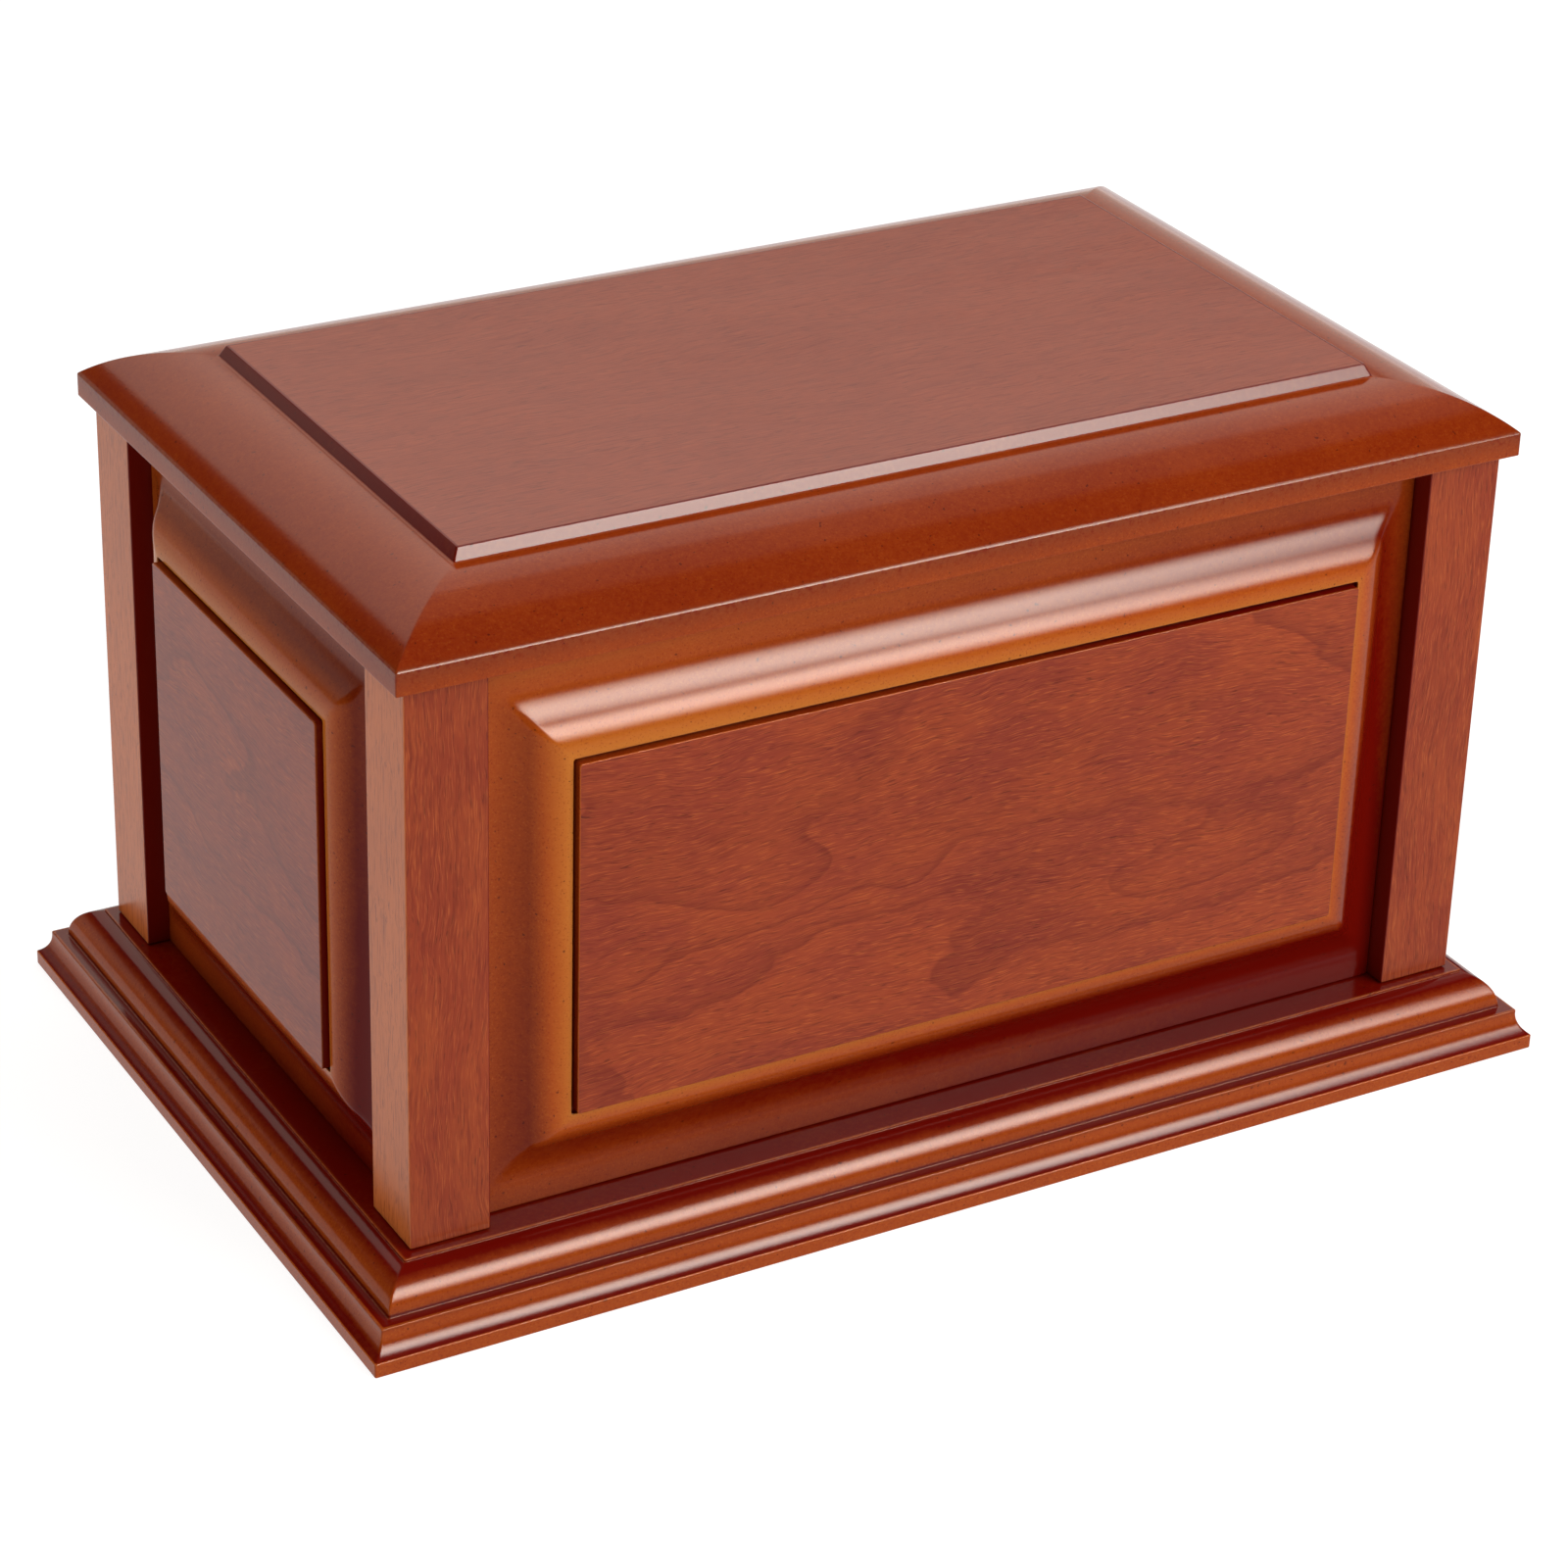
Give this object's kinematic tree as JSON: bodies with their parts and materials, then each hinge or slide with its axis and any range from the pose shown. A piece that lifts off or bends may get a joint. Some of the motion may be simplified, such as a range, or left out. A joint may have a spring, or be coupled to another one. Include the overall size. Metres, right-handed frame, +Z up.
{
  "type": "wooden cremation urn",
  "caption": "Rectangular cherry-finished wooden urn box with a stepped moulded base, square corner posts, raised moulded panels and a domed-edge lift-off lid.",
  "frame": {"origin": "middle of the base board's underside, the face the urn stands on", "axes": "+X along the length, +Y towards the back, +Z up; the long front panel looks along -Y"},
  "size_m": [0.284, 0.184, 0.1583],
  "materials": {
    "base_wood": "satin",
    "post_front_left_wood": "satin",
    "post_front_right_wood": "satin",
    "post_back_left_wood": "satin",
    "post_back_right_wood": "satin",
    "panel_front_wood": "satin",
    "panel_back_wood": "satin",
    "panel_left_wood": "satin",
    "panel_right_wood": "satin",
    "lid_wood": "satin"
  },
  "bodies": {
    "root": {"base": "base_wood", "post_front_left": "post_front_left_wood", "post_front_right": "post_front_right_wood", "post_back_left": "post_back_left_wood", "post_back_right": "post_back_right_wood", "panel_front": "panel_front_wood", "panel_back": "panel_back_wood", "panel_left": "panel_left_wood", "panel_right": "panel_right_wood", "lid": "lid_wood"}
  },
  "joints": []
}
